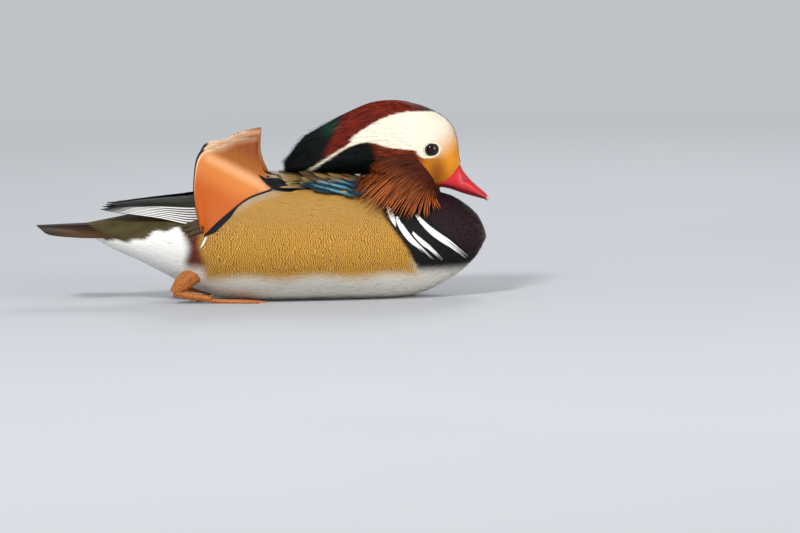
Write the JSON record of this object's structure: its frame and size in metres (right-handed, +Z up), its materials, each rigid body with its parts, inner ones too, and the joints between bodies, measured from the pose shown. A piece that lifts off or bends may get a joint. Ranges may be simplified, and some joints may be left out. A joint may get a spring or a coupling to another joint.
{
  "type": "mandarin duck",
  "caption": "Life-size drake mandarin duck afloat, head drawn in, with crest, chestnut ruff and orange wing sails.",
  "frame": {"origin": "middle of the duck's length and width, on the level that the belly rests on", "axes": "+X from tail to bill, +Y to the duck's left, +Z up"},
  "size_m": [0.3534, 0.1158, 0.1547],
  "materials": {
    "plumage_body": "matt barred plumage",
    "plumage_neck": "matt chestnut plumage",
    "plumage_head": "matt white and golden plumage",
    "plumage_crest": "glossy maroon and green plumage",
    "plumage_ruff": "satin chestnut hackles",
    "plumage_wing": "satin black and white flight feathers",
    "plumage_back": "satin olive brown plumage",
    "plumage_sail": "satin orange vane",
    "plumage_tail": "matt olive brown tail feathers",
    "bill": "satin red horn",
    "eye": "glossy dark brown",
    "skin": "matt scaled orange skin"
  },
  "bodies": {
    "root": {"torso": "plumage_body", "neck": "plumage_neck", "head": "plumage_head", "crest": "plumage_crest", "tail": "plumage_tail", "bill_upper": "bill", "bill_lower": "bill", "ruff_right": "plumage_ruff", "wing_right": "plumage_wing", "scapulars_right": "plumage_back", "sail_right": "plumage_sail", "leg_right": "skin", "foot_right": "skin", "eye_right": "eye", "ruff_left": "plumage_ruff", "wing_left": "plumage_wing", "scapulars_left": "plumage_back", "sail_left": "plumage_sail", "leg_left": "skin", "foot_left": "skin", "eye_left": "eye"}
  },
  "joints": []
}
